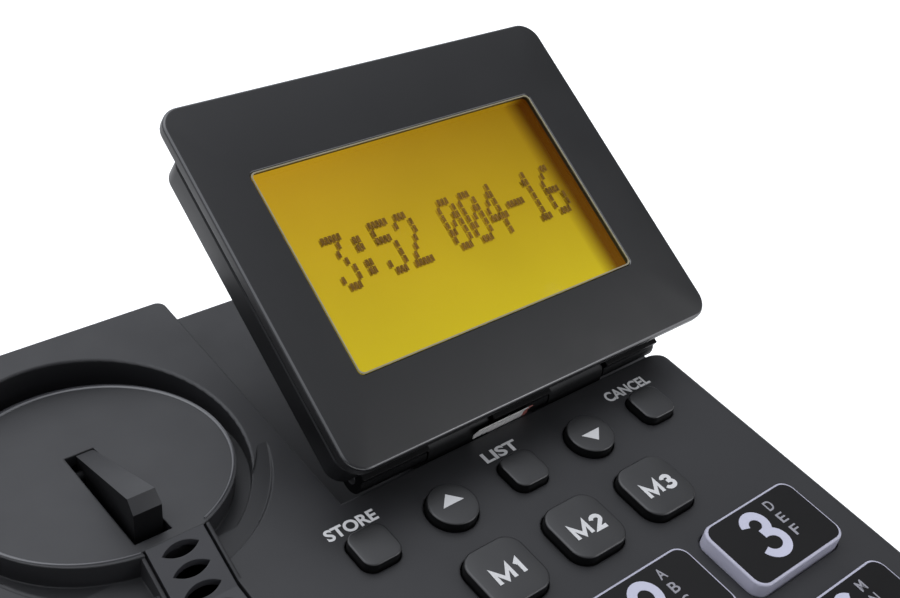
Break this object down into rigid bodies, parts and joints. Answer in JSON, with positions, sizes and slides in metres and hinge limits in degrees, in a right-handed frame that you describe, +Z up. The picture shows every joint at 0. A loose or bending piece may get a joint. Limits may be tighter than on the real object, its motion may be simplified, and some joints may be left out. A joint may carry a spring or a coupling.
{
  "type": "corded speakerphone",
  "caption": "Sloping black desk speakerphone with a handset cradle and hook lever, a backlit amber display on a tilting hinge, and large raised dial keys.",
  "frame": {"origin": "middle of the whole object's footprint on the table", "axes": "+X right, +Y to the back, +Z up"},
  "size_m": [0.1768, 0.23, 0.1327],
  "materials": {
    "case": "satin, finely textured",
    "grille": "satin",
    "bezel": "satin",
    "display_back": "satin",
    "hinge": "polished",
    "dial_key": "translucent",
    "memory_key": "satin",
    "menu_key": "satin",
    "function_key": "satin",
    "control": "satin",
    "lens": "clear",
    "lcd": "amber",
    "backlight": "diffuse",
    "board": "solder mask",
    "key_mat": "matte",
    "steel": "plated",
    "rubber": "matte",
    "pot": "moulded",
    "socket": "moulded",
    "speaker_metal": "plated",
    "speaker_cone": "paper"
  },
  "bodies": {
    "base": {"top_case": "case", "bottom_case": "case", "case_screws": "steel", "rubber_feet": "rubber", "key_mat": "key_mat", "main_board": "board", "board_screws": "steel", "volume_pot": "pot", "tone_pot": "pot", "hook_pin": "steel", "hook_switch": "socket", "grille": "grille", "speaker_basket": "speaker_metal", "speaker_cone": "speaker_cone", "microphone": "speaker_metal", "line_jack": "socket", "handset_jack": "socket", "power_inlet": "socket", "hinge_mount": "hinge", "hinge_pin": "steel"},
    "display": {"display_bezel": "bezel", "display_back": "display_back", "display_lens": "lens", "lcd_panel": "lcd", "backlight": "backlight", "display_board": "board", "display_hinge": "hinge"},
    "hook": {"hook_lever": "case"},
    "volume": {"volume_wheel": "control"},
    "tone": {"tone_slider": "control"},
    "key_1_body": {"key_1": "dial_key"},
    "key_2_body": {"key_2": "dial_key"},
    "key_3_body": {"key_3": "dial_key"},
    "key_4_body": {"key_4": "dial_key"},
    "key_5_body": {"key_5": "dial_key"},
    "key_6_body": {"key_6": "dial_key"},
    "key_7_body": {"key_7": "dial_key"},
    "key_8_body": {"key_8": "dial_key"},
    "key_9_body": {"key_9": "dial_key"},
    "key_star_body": {"key_star": "dial_key"},
    "key_0_body": {"key_0": "dial_key"},
    "key_hash_body": {"key_hash": "dial_key"},
    "memory_key_1_body": {"memory_key_1": "memory_key"},
    "memory_key_2_body": {"memory_key_2": "memory_key"},
    "memory_key_3_body": {"memory_key_3": "memory_key"},
    "ok_key_body": {"ok_key": "menu_key"},
    "up_key_body": {"up_key": "menu_key"},
    "set_key_body": {"set_key": "menu_key"},
    "down_key_body": {"down_key": "menu_key"},
    "clear_key_body": {"clear_key": "menu_key"},
    "speaker_key_body": {"speaker_key": "function_key"},
    "flash_key_body": {"flash_key": "function_key"},
    "redial_key_body": {"redial_key": "function_key"},
    "boost_key_body": {"boost_key": "function_key"}
  },
  "joints": [
    {"name": "display_tilt", "type": "hinge", "parent": "base", "child": "display", "pos_m": [0.0366, 0.04975, 0.06841], "axis": [1, 0, 0], "range_deg": [-26, 28]},
    {"name": "hook_press", "type": "hinge", "parent": "base", "child": "hook", "pos_m": [-0.05205, 0.08113, 0.07059], "axis": [1, 0, 0], "range_deg": [0, 12.5], "stiffness_Nm_per_rad": 0.03, "springref_deg": -17.19},
    {"name": "volume_turn", "type": "hinge", "parent": "base", "child": "volume", "pos_m": [0.0731, -0.02366, 0.03383], "axis": [0, -0.2419, 0.9703], "range_deg": [-140, 140]},
    {"name": "tone_slide", "type": "slide", "parent": "base", "child": "tone", "axis": [0, 0.9703, 0.2419], "range_m": [-0.005, 0.005]},
    {"name": "key_1_press", "type": "slide", "parent": "base", "child": "key_1_body", "axis": [0, 0.2419, -0.9703], "range_m": [0, 0.0012], "stiffness_N_per_m": 300, "springref_m": -0.0005},
    {"name": "key_2_press", "type": "slide", "parent": "base", "child": "key_2_body", "axis": [0, 0.2419, -0.9703], "range_m": [0, 0.0012], "stiffness_N_per_m": 300, "springref_m": -0.0005},
    {"name": "key_3_press", "type": "slide", "parent": "base", "child": "key_3_body", "axis": [0, 0.2419, -0.9703], "range_m": [0, 0.0012], "stiffness_N_per_m": 300, "springref_m": -0.0005},
    {"name": "key_4_press", "type": "slide", "parent": "base", "child": "key_4_body", "axis": [0, 0.2419, -0.9703], "range_m": [0, 0.0012], "stiffness_N_per_m": 300, "springref_m": -0.0005},
    {"name": "key_5_press", "type": "slide", "parent": "base", "child": "key_5_body", "axis": [0, 0.2419, -0.9703], "range_m": [0, 0.0012], "stiffness_N_per_m": 300, "springref_m": -0.0005},
    {"name": "key_6_press", "type": "slide", "parent": "base", "child": "key_6_body", "axis": [0, 0.2419, -0.9703], "range_m": [0, 0.0012], "stiffness_N_per_m": 300, "springref_m": -0.0005},
    {"name": "key_7_press", "type": "slide", "parent": "base", "child": "key_7_body", "axis": [0, 0.2419, -0.9703], "range_m": [0, 0.0012], "stiffness_N_per_m": 300, "springref_m": -0.0005},
    {"name": "key_8_press", "type": "slide", "parent": "base", "child": "key_8_body", "axis": [0, 0.2419, -0.9703], "range_m": [0, 0.0012], "stiffness_N_per_m": 300, "springref_m": -0.0005},
    {"name": "key_9_press", "type": "slide", "parent": "base", "child": "key_9_body", "axis": [0, 0.2419, -0.9703], "range_m": [0, 0.0012], "stiffness_N_per_m": 300, "springref_m": -0.0005},
    {"name": "key_star_press", "type": "slide", "parent": "base", "child": "key_star_body", "axis": [0, 0.2419, -0.9703], "range_m": [0, 0.0012], "stiffness_N_per_m": 300, "springref_m": -0.0005},
    {"name": "key_0_press", "type": "slide", "parent": "base", "child": "key_0_body", "axis": [0, 0.2419, -0.9703], "range_m": [0, 0.0012], "stiffness_N_per_m": 300, "springref_m": -0.0005},
    {"name": "key_hash_press", "type": "slide", "parent": "base", "child": "key_hash_body", "axis": [0, 0.2419, -0.9703], "range_m": [0, 0.0012], "stiffness_N_per_m": 300, "springref_m": -0.0005},
    {"name": "memory_key_1_press", "type": "slide", "parent": "base", "child": "memory_key_1_body", "axis": [0, 0.2419, -0.9703], "range_m": [0, 0.0012], "stiffness_N_per_m": 300, "springref_m": -0.0005},
    {"name": "memory_key_2_press", "type": "slide", "parent": "base", "child": "memory_key_2_body", "axis": [0, 0.2419, -0.9703], "range_m": [0, 0.0012], "stiffness_N_per_m": 300, "springref_m": -0.0005},
    {"name": "memory_key_3_press", "type": "slide", "parent": "base", "child": "memory_key_3_body", "axis": [0, 0.2419, -0.9703], "range_m": [0, 0.0012], "stiffness_N_per_m": 300, "springref_m": -0.0005},
    {"name": "ok_key_press", "type": "slide", "parent": "base", "child": "ok_key_body", "axis": [0, 0.2419, -0.9703], "range_m": [0, 0.0012], "stiffness_N_per_m": 300, "springref_m": -0.0005},
    {"name": "up_key_press", "type": "slide", "parent": "base", "child": "up_key_body", "axis": [0, 0.2419, -0.9703], "range_m": [0, 0.0012], "stiffness_N_per_m": 300, "springref_m": -0.0005},
    {"name": "set_key_press", "type": "slide", "parent": "base", "child": "set_key_body", "axis": [0, 0.2419, -0.9703], "range_m": [0, 0.0012], "stiffness_N_per_m": 300, "springref_m": -0.0005},
    {"name": "down_key_press", "type": "slide", "parent": "base", "child": "down_key_body", "axis": [0, 0.2419, -0.9703], "range_m": [0, 0.0012], "stiffness_N_per_m": 300, "springref_m": -0.0005},
    {"name": "clear_key_press", "type": "slide", "parent": "base", "child": "clear_key_body", "axis": [0, 0.2419, -0.9703], "range_m": [0, 0.0012], "stiffness_N_per_m": 300, "springref_m": -0.0005},
    {"name": "speaker_key_press", "type": "slide", "parent": "base", "child": "speaker_key_body", "axis": [0, 0.2419, -0.9703], "range_m": [0, 0.0012], "stiffness_N_per_m": 300, "springref_m": -0.0005},
    {"name": "flash_key_press", "type": "slide", "parent": "base", "child": "flash_key_body", "axis": [0, 0.2419, -0.9703], "range_m": [0, 0.0012], "stiffness_N_per_m": 300, "springref_m": -0.0005},
    {"name": "redial_key_press", "type": "slide", "parent": "base", "child": "redial_key_body", "axis": [0, 0.2419, -0.9703], "range_m": [0, 0.0012], "stiffness_N_per_m": 300, "springref_m": -0.0005},
    {"name": "boost_key_press", "type": "slide", "parent": "base", "child": "boost_key_body", "axis": [0, 0.2419, -0.9703], "range_m": [0, 0.0012], "stiffness_N_per_m": 300, "springref_m": -0.0005}
  ]
}
